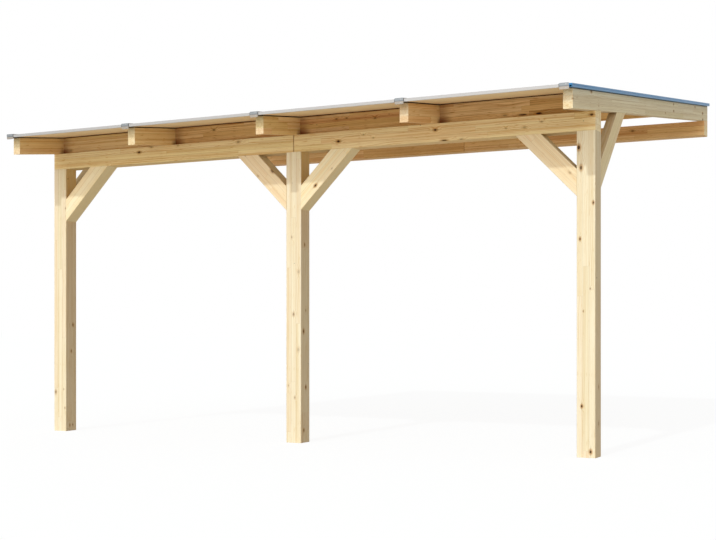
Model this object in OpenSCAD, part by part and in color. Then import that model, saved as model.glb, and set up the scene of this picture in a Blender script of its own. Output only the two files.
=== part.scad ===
// Lean-to patio cover: three square glulam posts under a front beam, five rafters
// that fall from a wall beam, and twin-wall roof sheets held by aluminium bars.
// Lengths in millimetres. X runs along the wall, Y points into the wall, Z is up.
// The origin is the centre of the wall beam's back face, which lies on the wall.

/* [Overall] */
// Distance from the posts' front faces to the wall
cover_depth = 3180; // [2400:10:3600]
// Spacing of the posts, centre to centre
post_spacing = 2110; // [1700:10:2400]
// Clear height under the front beam
clear_height = 2035; // [1900:5:2300]
// Fall of the roof, in degrees
roof_pitch = 7; // [5:0.5:10]
// How far the rafter tails run on past the posts' front faces
tail_overhang = 445; // [300:5:600]
// How far the roof sheets run on past the posts' front faces
sheet_overhang = 515; // [480:5:700]

/* [Timber] */
// Side of the square posts, beams and front braces
timber_w = 120; // [100:5:140]
// Thickness of the rafters and the back braces
rafter_w = 60; // [50:2:70]
// Depth of the rafters, square to the roof
rafter_h = 120; // [110:5:160]
// Width of the back braces, in their own plane
back_brace_h = 120; // [90:5:140]
// Bevel planed on the long edges of every timber
arris = 3; // [1:0.5:5]
// Thickness of the boards that close the gaps between the rafters
blocking_w = 40; // [28:2:50]
// Height at which the lower edge of a front brace leaves its post
brace_foot = 1630; // [1500:5:1700]
// Height at which the lower edge of a back brace leaves its post
back_brace_foot = 1685; // [1500:5:1720]

/* [Roof] */
// Thickness of the twin-wall sheets
sheet_t = 16; // [16:1:20]
// Pitch of the ribs between the two walls of a sheet
rib_pitch = 20; // [16:1:40]
// Thickness of a sheet's walls and ribs
sheet_wall = 1.2; // [0.8:0.1:1.5]
// Gap between two sheets over a rafter
sheet_gap = 20; // [14:1:30]
// Height of the rubber beds between the rafters and the sheets
bed_t = 6; // [5:0.5:8]
// Height of the aluminium cover bars above the sheets
bar_h = 6; // [5:0.5:10]
// Wall thickness of the aluminium profiles
metal_t = 1.5; // [1.2:0.1:2]
// Width of the side trims
trim_w = 20; // [16:1:30]
// Height of the side trims
trim_h = 22; // [22:1:36]
// Height of the caps on the front ends of the bars
cap_h = 38; // [34:1:44]

/* [Hidden] */
$fn = 32;

// ---- Places worked out from the driving dimensions ----
rise = tan(roof_pitch);
// Heights above the ground: top front edges of the two beams, underside of the wall beam
eave_h = clear_height + timber_w;
wall_top_h = eave_h + (cover_depth - timber_w) * rise;
wall_underside_h = wall_top_h - timber_w;
// The wall beam's back face is higher than its front by the fall planed on its top
wall_face_h = timber_w * (1 + rise);
ground_z = -(wall_underside_h + wall_face_h / 2);
half_run = post_spacing + timber_w / 2;
rafter_pitch = (2 * half_run - rafter_w) / 4;
clear_gap = rafter_pitch - rafter_w;

// Levels square to the roof, above the plane of the rafters' undersides
bed_level = rafter_h;
sheet_level = bed_level + bed_t;
bar_level = sheet_level + sheet_t;
roof_top = bar_level + bar_h;
mid_level = sheet_level + sheet_t / 2;
// Ends of the roof covering, measured up the slope from the posts' front faces
wall_clearance = 4;
slope_front = (mid_level * sin(roof_pitch) - sheet_overhang) / cos(roof_pitch);
slope_back = (cover_depth - wall_clearance + bed_level * sin(roof_pitch)) / cos(roof_pitch);
// Front face of the blocking, centred on the beam
blocking_y = (timber_w - blocking_w) / 2;
// Raised lips of the rubber beds, and the rib that keeps two sheets apart
lip_h = 2;
rib_w = 8;
// How far the outermost sheets stop short of the outer rafters' outer faces
side_margin = 10;
cap_t = 3;
cap_lip = 14;
edge_depth = 22;
// Groove pressed across the caps, and how far the left trim stops short of the front edge
groove_w = 4;
trim_setback = 35;
// Gap of the front beam's butt joint, and the bevel on the upright front edges of a beam's ends
butt_gap = 2;
end_bevel = 3;

timber_colour = [0.87, 0.76, 0.58];
sheet_colour = [0.88, 0.92, 0.94, 0.55];
metal_colour = [0.72, 0.75, 0.78];
rubber_colour = [0.07, 0.07, 0.07];
trim_colour = [0.24, 0.45, 0.68];

function rafter_x(i) = (i - 3) * rafter_pitch;

// Height above the ground of a level of the roof, at a distance behind the posts' front faces
function roof_h(y, level) = eave_h + y * rise + level / cos(roof_pitch);

// ---- Shared shapes ----

// Moves to the ground line under the posts' front faces
module from_ground() {
    translate([0, -cover_depth, ground_z]) children();
}

// Moves to the roof's own frame: X along the wall, Y up the slope, Z square to the roof
module on_slope() {
    from_ground() translate([0, 0, eave_h]) rotate([roof_pitch, 0, 0]) children();
}

// Runs a section, drawn across the roof and square to it, from one place on the slope to another
module along_slope(from, to) {
    on_slope() translate([0, to, 0]) rotate([90, 0, 0]) linear_extrude(to - from) children();
}

// Runs a section, drawn up the slope and square to it, along the wall
module along_wall(x, len) {
    on_slope() translate([x, 0, 0]) rotate([90, 0, 90]) linear_extrude(len) children();
}

// Cross-section of a planed timber with its four long edges bevelled
module timber_section(w, h) {
    polygon([
        [arris, 0], [w - arris, 0], [w, arris], [w, h - arris],
        [w - arris, h], [arris, h], [0, h - arris], [0, arris]
    ]);
}

// ---- Timber ----

module post(x) {
    color(timber_colour) from_ground() translate([x - timber_w / 2, 0, 0])
        linear_extrude(clear_height) timber_section(timber_w, timber_w);
}

// Beam whose top is planed to the fall of the roof, so that the rafters bear on it; the ends are
// bevelled in front, so that the butt joint over the middle post shows as a fine groove
module beam(side, y, underside, gap) {
    len = half_run - gap / 2;
    x = side > 0 ? gap / 2 : -half_run;
    color(timber_colour) from_ground() translate([x, y, underside]) intersection() {
        rotate([90, 0, 90]) linear_extrude(len) polygon([
            [arris, 0], [timber_w - arris, 0], [timber_w, arris],
            [timber_w, timber_w * (1 + rise)], [0, timber_w], [0, arris]
        ]);
        linear_extrude(2 * timber_w) polygon([
            [end_bevel, 0], [len - end_bevel, 0], [len, end_bevel],
            [len, timber_w], [0, timber_w], [0, end_bevel]
        ]);
    }
}

// Square brace at 45 degrees from a post to the front beam; side is 1 or -1 along X
module front_brace(post_x, side) {
    reach = clear_height - brace_foot;
    color(timber_colour) from_ground() translate([post_x, 0, brace_foot])
        mirror([side > 0 ? 0 : 1, 0, 0]) translate([timber_w / 2, 0, 0]) intersection() {
            rotate([0, 45, 0]) translate([-timber_w, 0, 0])
                linear_extrude(reach * sqrt(2) + timber_w) timber_section(timber_w, timber_w);
            cube([reach + timber_w, timber_w, reach]);
        }
}

// Brace at 45 degrees from an outer post's back face up to the rafter over it
module back_brace(x) {
    reach = eave_h - back_brace_foot + timber_w;
    color(timber_colour) intersection() {
        from_ground() translate([x - rafter_w / 2, timber_w, back_brace_foot])
            rotate([-45, 0, 0]) translate([0, -back_brace_h, 0])
                linear_extrude(reach * 2) timber_section(rafter_w, back_brace_h);
        from_ground() translate([x - rafter_w, timber_w, back_brace_foot])
            cube([2 * rafter_w, 2 * reach, 2 * reach]);
        on_slope() translate([x - rafter_w, 0, -2 * reach])
            cube([2 * rafter_w, 3 * reach, 2 * reach]);
    }
}

// Rafter with both ends cut plumb
module rafter(x) {
    color(timber_colour) intersection() {
        along_slope(-tail_overhang - rafter_h, cover_depth + 2 * rafter_h)
            translate([x - rafter_w / 2, 0]) timber_section(rafter_w, rafter_h);
        from_ground() translate([x - rafter_w, -tail_overhang, 0])
            cube([2 * rafter_w, cover_depth + tail_overhang, wall_top_h + 3 * rafter_h]);
    }
}

// Board between two rafters, standing on the beam and planed to the fall at both edges
module blocking(i) {
    back_y = blocking_y + blocking_w;
    color(timber_colour) from_ground() translate([rafter_x(i) + rafter_w / 2, 0, 0])
        rotate([90, 0, 90]) linear_extrude(clear_gap) polygon([
            [blocking_y, roof_h(blocking_y, 0)],
            [back_y, roof_h(back_y, 0)],
            [back_y, roof_h(back_y, rafter_h)],
            [blocking_y, roof_h(blocking_y, rafter_h)]
        ]);
}

// ---- Seals ----

// Rubber strip with three raised lips a side and a rib between the sheets
module bed_section(rib_x, rib) {
    lip_pitch = (rafter_w - rib_w) / 6;
    translate([-rafter_w / 2, bed_level]) square([rafter_w, bed_t - lip_h]);
    for (side = [-1, 1], k = [0 : 2])
        translate([side * (rafter_w / 2 - 1.5 - k * lip_pitch) - 1.5, bed_level]) square([3, bed_t]);
    translate([rib_x - rib / 2, bed_level]) square([rib, bed_t + sheet_t]);
}

// The beds over the outer rafters carry their rib outside the last sheet
module rubber_bed(i) {
    outer = i == 1 || i == 5;
    rib = outer ? side_margin : rib_w;
    rib_x = outer ? sign(i - 3) * (rafter_w - side_margin) / 2 : 0;
    color(rubber_colour) along_slope(slope_front, slope_back)
        translate([rafter_x(i), 0]) bed_section(rib_x, rib);
}

// Foam strips that close the gap between the blocking and the sheets
module foam_seals() {
    seal_from = (blocking_y + bed_level * sin(roof_pitch)) / cos(roof_pitch);
    color(rubber_colour) for (i = [1 : 4])
        on_slope() translate([rafter_x(i) + rafter_w / 2, seal_from, bed_level])
            cube([clear_gap, blocking_w - 4, bed_t]);
}

// ---- Roof covering ----

// Twin-wall section: two walls joined by upright ribs
module twin_wall(w) {
    cells = round(w / rib_pitch);
    pitch = (w - sheet_wall) / cells;
    difference() {
        square([w, sheet_t]);
        for (k = [0 : cells - 1]) translate([sheet_wall + k * pitch, sheet_wall])
            square([pitch - sheet_wall, sheet_t - 2 * sheet_wall]);
    }
}

// The sheets end half a gap short of a middle rafter's centre line
module roof_sheet(i) {
    from_x = i == 1 ? -half_run + side_margin : rafter_x(i) + sheet_gap / 2;
    to_x = i == 4 ? half_run - side_margin : rafter_x(i + 1) - sheet_gap / 2;
    color(sheet_colour) along_slope(slope_front, slope_back)
        translate([from_x, sheet_level]) twin_wall(to_x - from_x);
}

// Cover bar with down-turned edges and a raised middle for the screws
module cover_bar(i) {
    half = rafter_w / 2;
    mid = half * 0.45;
    step = bar_h - 2;
    color(metal_colour) along_slope(slope_front, slope_back) translate([rafter_x(i), bar_level])
        polygon([
            [-half, 0], [-half, step], [-mid, step], [-mid + 2, bar_h],
            [mid - 2, bar_h], [mid, step], [half, step], [half, 0],
            [half - metal_t, 0], [half - metal_t, step - metal_t], [mid - metal_t / 2, step - metal_t],
            [mid - 2 - metal_t / 2, bar_h - metal_t], [-mid + 2 + metal_t / 2, bar_h - metal_t],
            [-mid + metal_t / 2, step - metal_t], [-half + metal_t, step - metal_t], [-half + metal_t, 0]
        ]);
}

// Front plate of a cap, with rounded corners, drawn across the roof
module cap_plate() {
    corner = 4;
    w = rafter_w;
    translate([-w / 2, corner]) square([w, cap_h - 2 * corner]);
    translate([-w / 2 + corner, 0]) square([w - 2 * corner, cap_h]);
    for (x = [-w / 2 + corner, w / 2 - corner], z = [corner, cap_h - corner])
        translate([x, z]) circle(corner);
}

// Caps that close the bars at the eave: a grooved plate, a lip over the bar and a lip under the bed
module bar_end_caps() {
    foot = roof_top + metal_t - cap_h;
    lip_w = rafter_w * 0.45 - 4;
    color(metal_colour) for (i = [1 : 5]) {
        difference() {
            along_slope(slope_front - cap_t, slope_front) translate([rafter_x(i), foot]) cap_plate();
            along_slope(slope_front - 2 * cap_t, slope_front - cap_t / 2)
                translate([rafter_x(i) - rafter_w, foot + (cap_h - groove_w) / 2]) square([2 * rafter_w, groove_w]);
        }
        along_slope(slope_front - cap_t / 2, slope_front + cap_lip) translate([rafter_x(i) - lip_w / 2, roof_top])
            square([lip_w, metal_t]);
        along_slope(slope_front - cap_t / 2, slope_front + cap_lip)
            translate([rafter_x(i) - rafter_w / 2 + 6, bed_level - metal_t]) square([rafter_w - 12, metal_t]);
    }
}

// Channel that closes the open cells at a sheet's end; dir is 1 at the eave and -1 at the wall
module edge_channel(i, dir) {
    web_at = dir > 0 ? slope_front : slope_back;
    color(metal_colour) along_wall(rafter_x(i) + rafter_w / 2, clear_gap)
        translate([web_at, 0]) scale([dir, 1, 1]) polygon([
            [-metal_t, sheet_level - metal_t], [edge_depth, sheet_level - metal_t],
            [edge_depth, sheet_level], [0, sheet_level], [0, bar_level], [edge_depth, bar_level],
            [edge_depth, bar_level + metal_t], [-metal_t, bar_level + metal_t]
        ]);
}

module rear_edges() {
    for (i = [1 : 4]) edge_channel(i, -1);
}

// Two-chamber trim on the roof's outer edge; side is 1 or -1 along X. The lower chamber is open
// at the front, the upper one is closed there.
module side_trim(side) {
    groove = 2;
    waist = trim_h * 0.55;
    chamber_w = trim_w - 2 * metal_t - groove;
    front = side > 0 ? slope_front - cap_t : slope_front + trim_setback;
    place = [half_run, roof_top - 4 - trim_h];
    color(trim_colour) mirror([side > 0 ? 0 : 1, 0, 0]) difference() {
        along_slope(front, slope_back) translate(place) polygon([
            [0, 0], [trim_w, 0], [trim_w, waist - groove], [trim_w - groove, waist - groove / 2],
            [trim_w - groove, waist + groove / 2], [trim_w, waist + groove], [trim_w, trim_h], [0, trim_h]
        ]);
        along_slope(front - 1, slope_back + 1) translate(place)
            translate([metal_t, metal_t]) square([chamber_w, waist - 2 * metal_t]);
        along_slope(front + 2 * metal_t, slope_back + 1) translate(place)
            translate([metal_t, waist + metal_t]) square([chamber_w, trim_h - waist - 2 * metal_t]);
    }
}

// ---- Assembly ----
post(-post_spacing);  // post_left
post(0);  // post_middle
post(post_spacing);  // post_right
beam(-1, 0, clear_height, butt_gap);  // front_beam_left
beam(1, 0, clear_height, butt_gap);  // front_beam_right
front_brace(-post_spacing, 1);  // front_brace_1
front_brace(0, -1);  // front_brace_2
front_brace(0, 1);  // front_brace_3
front_brace(post_spacing, -1);  // front_brace_4
back_brace(rafter_x(1));  // back_brace_left
back_brace(rafter_x(5));  // back_brace_right
beam(-1, cover_depth - timber_w, wall_underside_h, 0);  // wall_beam_left
beam(1, cover_depth - timber_w, wall_underside_h, 0);  // wall_beam_right
rafter(rafter_x(1));  // rafter_1
rafter(rafter_x(2));  // rafter_2
rafter(rafter_x(3));  // rafter_3
rafter(rafter_x(4));  // rafter_4
rafter(rafter_x(5));  // rafter_5
blocking(1);  // blocking_1
blocking(2);  // blocking_2
blocking(3);  // blocking_3
blocking(4);  // blocking_4
rubber_bed(1);  // rubber_bed_1
rubber_bed(2);  // rubber_bed_2
rubber_bed(3);  // rubber_bed_3
rubber_bed(4);  // rubber_bed_4
rubber_bed(5);  // rubber_bed_5
foam_seals();
roof_sheet(1);  // roof_sheet_1
roof_sheet(2);  // roof_sheet_2
roof_sheet(3);  // roof_sheet_3
roof_sheet(4);  // roof_sheet_4
cover_bar(1);  // cover_bar_1
cover_bar(2);  // cover_bar_2
cover_bar(3);  // cover_bar_3
cover_bar(4);  // cover_bar_4
cover_bar(5);  // cover_bar_5
bar_end_caps();
edge_channel(1, 1);  // front_edge_1
edge_channel(2, 1);  // front_edge_2
edge_channel(3, 1);  // front_edge_3
edge_channel(4, 1);  // front_edge_4
rear_edges();
side_trim(-1);  // side_trim_left
side_trim(1);  // side_trim_right
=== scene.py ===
# %% [markdown]
# # A lean-to patio cover
# The cover is a timber frame of planed glulam spruce: three square posts carry a beam, five rafters
# rise from the beam to a second beam on the house wall, and twin-wall sheets lie on the rafters under
# aluminium bars. The shapes come ready from the construction model, so this lesson is about finishes:
# what each surface is in the real object, and how nodes can say the same thing.

# %% Load the construction model
import math

import bmesh
import bpy
from mathutils import Matrix, Vector


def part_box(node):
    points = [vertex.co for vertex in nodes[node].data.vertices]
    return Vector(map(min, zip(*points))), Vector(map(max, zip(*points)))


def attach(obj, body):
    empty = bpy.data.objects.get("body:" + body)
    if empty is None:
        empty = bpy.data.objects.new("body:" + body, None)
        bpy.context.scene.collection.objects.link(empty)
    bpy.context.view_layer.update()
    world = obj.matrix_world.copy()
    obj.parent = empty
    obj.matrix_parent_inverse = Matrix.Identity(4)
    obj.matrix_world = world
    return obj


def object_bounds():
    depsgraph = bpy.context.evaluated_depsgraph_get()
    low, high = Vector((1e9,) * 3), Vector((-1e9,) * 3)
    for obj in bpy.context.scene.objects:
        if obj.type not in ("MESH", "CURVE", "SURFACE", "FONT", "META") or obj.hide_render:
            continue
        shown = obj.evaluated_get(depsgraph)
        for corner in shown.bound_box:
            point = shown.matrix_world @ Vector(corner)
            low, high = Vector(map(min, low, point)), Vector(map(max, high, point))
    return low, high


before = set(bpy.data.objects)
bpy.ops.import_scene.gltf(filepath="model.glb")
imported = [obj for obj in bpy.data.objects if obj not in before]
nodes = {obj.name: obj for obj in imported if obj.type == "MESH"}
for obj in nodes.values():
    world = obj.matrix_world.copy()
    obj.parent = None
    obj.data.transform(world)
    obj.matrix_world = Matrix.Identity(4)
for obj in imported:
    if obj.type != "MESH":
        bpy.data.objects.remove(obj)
cad_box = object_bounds()
print("nodes:", len(nodes), "box from", tuple(cad_box[0]), "to", tuple(cad_box[1]))

# %% [markdown]
# Everything is placed from the model's own boxes. The top of the front beam is planed to the fall of
# the roof, so the beam's height and depth together give the pitch. From there one function turns
# "along the wall, up the slope, square to the roof" into a place in space.

# %% Directions and sizes of the roof
beam_low, beam_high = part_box("front_beam_left")
TIMBER = beam_high.y - beam_low.y
PITCH = math.atan((beam_high.z - beam_low.z) / TIMBER - 1)
ALONG_WALL = Vector((1, 0, 0))
INTO_WALL = Vector((0, 1, 0))
UPRIGHT = Vector((0, 0, 1))
UP_SLOPE = Vector((0, math.cos(PITCH), math.sin(PITCH)))
ROOF_NORMAL = Vector((0, -math.sin(PITCH), math.cos(PITCH)))
EAVE = Vector((0, beam_low.y, beam_low.z + TIMBER))
GROUND = cad_box[0].z
RAFTER_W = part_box("rafter_1")[1].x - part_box("rafter_1")[0].x
RAFTER_X = [sum(corner.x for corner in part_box(f"rafter_{i}")) / 2 for i in range(1, 6)]


def roof_place(x, up_slope, level):
    """A place: x along the wall, up the slope from the posts' fronts, level over the rafters' undersides."""
    return EAVE + ALONG_WALL * x + UP_SLOPE * up_slope + ROOF_NORMAL * level


print("pitch", round(math.degrees(PITCH), 2), "degrees, rafters at", [round(x, 3) for x in RAFTER_X])

# %% [markdown]
# Two helpers serve every material below. Colours are written as they look on a screen, in hex, and
# one function turns them to the linear values that the renderer works with. The other adds a node
# with its settings and what feeds it in one call, which keeps a long tree readable.

# %% Colour and node helpers
def linear(hex_colour):
    """A screen colour such as #E8CFA5 as linear red, green, blue and alpha."""
    parts = [int(hex_colour[i : i + 2], 16) / 255 for i in (1, 3, 5)]
    return (*[p / 12.92 if p <= 0.04045 else ((p + 0.055) / 1.055) ** 2.4 for p in parts], 1.0)


def add(tree, kind, settings=None):
    """Adds a node: a shader node, unless kind names another sort. An operation or a data type may follow
    the kind. Settings are properties or inputs, each with a value, a colour in hex, or what feeds it: a
    socket, or a node, which stands for its first live output."""
    kind, _, choice = kind.partition(" ")
    node = tree.nodes.new(kind if "Node" in kind else "ShaderNode" + kind)
    if choice:
        setattr(node, "operation" if hasattr(node, "operation") else "data_type", choice)
    for key, value in (settings or {}).items():
        if isinstance(value, bpy.types.Node):
            value = next(socket for socket in value.outputs if socket.enabled)
        if isinstance(value, bpy.types.NodeSocket):
            tree.links.new(value, node.inputs[key])
        elif isinstance(key, str) and hasattr(node, key):
            setattr(node, key, value)
        else:
            node.inputs[key].default_value = linear(value) if str(value).startswith("#") else value
    return node


def add_sockets(tree, inputs, outputs):
    """Gives a node group its inputs and outputs: each a name, a kind and, for some, a default value."""
    for way, sockets in (("INPUT", inputs), ("OUTPUT", outputs)):
        for name, kind, *default in sockets:
            socket = tree.interface.new_socket(name=name, in_out=way, socket_type="NodeSocket" + kind)
            if default:
                socket.default_value = default[0]


def new_material(name):
    """A material with an empty node tree."""
    material = bpy.data.materials.new(name)
    material.use_nodes = True
    material.node_tree.nodes.clear()
    return material, material.node_tree


def finish_with(start, material):
    """Puts one material in every slot of the construction model's nodes whose names start so."""
    for name, node in nodes.items():
        if name.startswith(start):
            materials = node.data.materials
            for i in range(len(materials)):
                materials[i] = material
            if not materials:
                materials.append(material)


print("spruce, straw yellow:", [round(c, 3) for c in linear("#E7CEA6")])

# %% [markdown]
# ## A knot
# A knot is the foot of a branch. Where the plane cuts it, the eye sees a dark, reddish oval with a
# paler ring, and the grain of the board bows round it. Painting ovals by hand would tie them to one
# face, so the knot is a small ball in the wood instead: any face that cuts the ball shows it. The
# group gives the ball's dark heart, its ring, and how strongly the grain is pushed aside.

# %% The knot group
def knot_group():
    tree = bpy.data.node_groups.new("Knot in the wood", "ShaderNodeTree")
    inputs = [
        ("Grain", "Vector"), ("Centre", "Vector"), ("Radius", "Float", 0.01), ("Depth", "Float", 1.0),
        ("Along the grain", "Float", 0.62),
    ]
    add_sockets(tree, inputs, [(part, "Float") for part in ("Heart", "Ring", "Push")])
    given = add(tree, "NodeGroupInput").outputs
    away = add(tree, "VectorMath SUBTRACT", {0: given["Grain"], 1: given["Centre"]})
    narrowing = add(tree, "CombineXYZ", {0: given["Along the grain"], 1: 1.0, 2: 1.0})
    oval = add(tree, "VectorMath MULTIPLY", {0: away, 1: narrowing})
    far = add(tree, "VectorMath LENGTH", {0: oval})
    radii = add(tree, "Math DIVIDE", {0: far, 1: given["Radius"]})
    wander = add(tree, "TexNoise", {"Scale": 160.0, "Detail": 1.0, "Vector": given["Grain"]})
    rough_edge = add(tree, "Math MULTIPLY_ADD", {0: wander, 1: 0.5, 2: -0.25})
    reach = add(tree, "Math ADD", {0: radii, 1: rough_edge})
    # The branch drags a faint dark streak, the tail, along the grain on both sides
    streak = add(tree, "VectorMath MULTIPLY", {0: away, 1: (0.16, 1.5, 1.5)})
    streak_far = add(tree, "VectorMath LENGTH", {0: streak})
    streak_radii = add(tree, "Math DIVIDE", {0: streak_far, 1: given["Radius"]})
    # Heart, ring, push and tail each fade out between two distances, counted in radii of the knot
    fades = []
    for distance, start, end, most in (
        (reach, 0.55, 0.98, 1.0),
        (reach, 0.9, 2.1, 1.0),
        (radii, 0.6, 4.5, 1.0),
        (streak_radii, 0.3, 1.0, 0.28),
    ):
        fade = {"Value": distance, "From Min": start, "From Max": end, "To Min": most, "To Max": 0.0}
        fades.append(add(tree, "MapRange", {"interpolation_type": "SMOOTHSTEP", **fade}))
    heart, ring, push, tail = fades
    whole = add(tree, "Math MAXIMUM", {0: heart, 1: tail})
    dark = add(tree, "Math MULTIPLY", {0: whole, 1: given["Depth"]})
    pale = add(tree, "Math MULTIPLY", {0: ring, 1: given["Depth"]})
    add(tree, "NodeGroupOutput", {"Heart": dark, "Ring": pale, "Push": push})
    return tree


KNOT = knot_group()
print("knot group:", len(KNOT.nodes), "nodes")

# %% [markdown]
# ## Glued laminated spruce
# A glulam timber is a stack of lamellae, each some 40 mm thick, glued flat on flat. Each lamella is a
# chain of boards joined end to end by finger joints, so the tint steps at places along a timber and
# changes from layer to layer. Inside one board the growth rings are circles round a pith that lies
# somewhere below or beside it: seen on a face they become long arches and nearly straight lines, and
# on a cut end they are arcs.
#
# One could paint stripes on each face, but then no edge would match. Instead the colour is a solid
# one: the group reads a place inside the timber, with the first coordinate along the grain, the
# second across a lamella and the third up the stack, and works out lamella, board, ring and fibre.
# Real rings are 2 to 4 mm apart. From some metres away they would melt into one flat tone, so the
# rings here are 9 mm apart, and finer fibre streaks lie over them for the close view.

# %% The glulam group
LAMELLA = 0.04
RING_PITCH = 0.009
BOARD_LENGTH = 1.15
FINGER_PITCH = 0.006
FINGER_LENGTH = 0.015
PIN_KNOT_CELL = (0.14, 0.035, 0.035)


def along_fibres(tree, place, changes, **looks):
    """Noise drawn out along the grain. changes says how often it changes in a metre each way."""
    stretched = add(tree, "VectorMath MULTIPLY", {0: place, 1: changes})
    return add(tree, "TexNoise", {"Scale": 1.0, **looks, "Vector": stretched})


def glulam_group():
    tree = bpy.data.node_groups.new("Planed glulam spruce", "ShaderNodeTree")
    inputs = [
        ("Grain", "Vector"), ("Lamella", "Float", LAMELLA), ("Seed", "Float", 0.0),
        ("Early wood", "Color", linear("#E9D0A4")), ("Late wood", "Color", linear("#C79C66")),
        ("Board contrast", "Float", 0.5), ("Heart", "Float", 0.0), ("Ring", "Float", 0.0),
        ("Push", "Float", 0.0),
    ]
    outputs = [("Color", "Color"), ("Roughness", "Float"), ("Height", "Float")]
    add_sockets(tree, inputs, outputs)
    given = add(tree, "NodeGroupInput").outputs
    grain = given["Grain"]
    along, across, stack = add(tree, "SeparateXYZ", {0: grain}).outputs

    # Which lamella, and where in its thickness
    layers = add(tree, "Math DIVIDE", {0: stack, 1: given["Lamella"]})
    layer = add(tree, "Math FLOOR", {0: layers})
    in_layer = add(tree, "Math FRACT", {0: layers})
    height = add(tree, "Math MULTIPLY", {0: in_layer, 1: given["Lamella"]})

    # Which board of that lamella: its end zigzags across the width, as finger joints do
    layer_seed = add(tree, "Math MULTIPLY_ADD", {0: given["Seed"], 1: 7.31, 2: layer})
    shift = add(tree, "TexWhiteNoise", {"noise_dimensions": "1D", "W": layer_seed})
    fingers = add(tree, "Math PINGPONG", {0: across, 1: FINGER_PITCH / 2})
    zigzag = add(tree, "Math MULTIPLY_ADD", {0: fingers, 1: 2 * FINGER_LENGTH / FINGER_PITCH, 2: along})
    lengths = add(tree, "Math DIVIDE", {0: zigzag, 1: BOARD_LENGTH})
    moved = add(tree, "Math ADD", {0: lengths, 1: shift})
    board = add(tree, "Math FLOOR", {0: moved})
    in_board = add(tree, "Math FRACT", {0: moved})
    board_key = add(tree, "CombineXYZ", {0: board, 1: layer, 2: given["Seed"]})
    draw = add(tree, "TexWhiteNoise", {"noise_dimensions": "3D", "Vector": board_key}).outputs["Color"]
    side_draw, depth_draw, tint_draw = add(tree, "SeparateColor", {0: draw}).outputs[:3]

    # Distance from the board's pith, bent by slow drift along the grain and pushed aside by knots
    pith_side = add(tree, "Math MULTIPLY_ADD", {0: side_draw, 1: 0.16, 2: -0.08})
    pith_depth = add(tree, "Math MULTIPLY_ADD", {0: depth_draw, 1: 0.09, 2: 0.012})
    from_side = add(tree, "Math SUBTRACT", {0: across, 1: pith_side})
    from_depth = add(tree, "Math ADD", {0: height, 1: pith_depth})
    spot = add(tree, "CombineXYZ", {1: from_side, 2: from_depth})
    radius = add(tree, "VectorMath LENGTH", {0: spot})
    drift_place = add(tree, "VectorMath MULTIPLY", {0: grain, 1: (1.3, 7.0, 7.0)})
    drift_draw = add(tree, "VectorMath MULTIPLY_ADD", {0: draw, 1: (9.0, 9.0, 9.0), 2: drift_place})
    drift = add(tree, "TexNoise", {"Scale": 1.0, "Detail": 2.0, "Vector": drift_draw})
    drifted = add(tree, "Math MULTIPLY_ADD", {0: drift, 1: 0.05, 2: radius})
    pushed = add(tree, "Math MULTIPLY_ADD", {0: given["Push"], 1: 0.012, 2: drifted})
    ring_count = add(tree, "Math DIVIDE", {0: pushed, 1: RING_PITCH})
    ring_place = add(tree, "Math FRACT", {0: ring_count})
    late = add(tree, "ValToRGB", {0: ring_place})
    stops = late.color_ramp.elements
    stops[0].color = stops[1].color = (0.10, 0.10, 0.10, 1)
    for where, grey in ((0.45, 0.22), (0.86, 0.95), (0.93, 0.75)):
        stops.new(where).color = (grey, grey, grey, 1)

    # Rings show more in some years and places than in others
    year = along_fibres(tree, grain, (2.2, 30.0, 30.0), Detail=2.0, Roughness=0.6)
    year_gain = add(tree, "MapRange", {"From Min": 0.35, "From Max": 0.68, "To Min": 0.2, "Value": year})
    late_share = add(tree, "Math MULTIPLY", {0: late, 1: year_gain})

    # Fibres: streaks 2 to 3 mm wide and some 15 cm long, and wider pale bands
    fibre = along_fibres(tree, grain, (7.0, 330.0, 330.0), Detail=2.0)
    band = along_fibres(tree, drift_draw, (1.6, 55.0, 55.0), Scale=0.16, Detail=3.0)
    fibre_share = add(tree, "Math MULTIPLY_ADD", {0: fibre, 1: 0.55, 2: -0.27})
    band_share = add(tree, "Math MULTIPLY_ADD", {0: band, 1: 1.9, 2: -0.86})
    streaks = add(tree, "Math ADD", {0: fibre_share, 1: band_share})
    # Resin ducts: short dark dashes, 4 mm wide here so that they show from the terrace
    duct = along_fibres(tree, grain, (16.0, 190.0, 190.0), Detail=1.0)
    duct_share = add(tree, "MapRange", {"From Min": 0.64, "From Max": 0.74, "To Max": 0.7, "Value": duct})
    marks = add(tree, "Math ADD", {0: streaks, 1: duct_share})
    darkness = add(tree, "Math MULTIPLY_ADD", {"use_clamp": True, 0: late_share, 1: 0.8, 2: marks})
    wood = add(tree, "Mix RGBA", {0: darkness, 6: given["Early wood"], 7: given["Late wood"]})

    # Each board has its own tint, from pinkish to straw yellow, and its own depth of tone
    tint = add(tree, "ValToRGB", {0: tint_draw})
    tints = tint.color_ramp.elements
    tints[0].color = linear("#F3DCC8")
    tints[1].color = linear("#ECE4C6")
    tints.new(0.3).color = linear("#FFFFFF")
    tints.new(0.65).color = linear("#FBF4E4")
    tinted = add(tree, "Mix RGBA", {"blend_type": "MULTIPLY", 0: given["Board contrast"], 6: wood, 7: tint})

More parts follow.
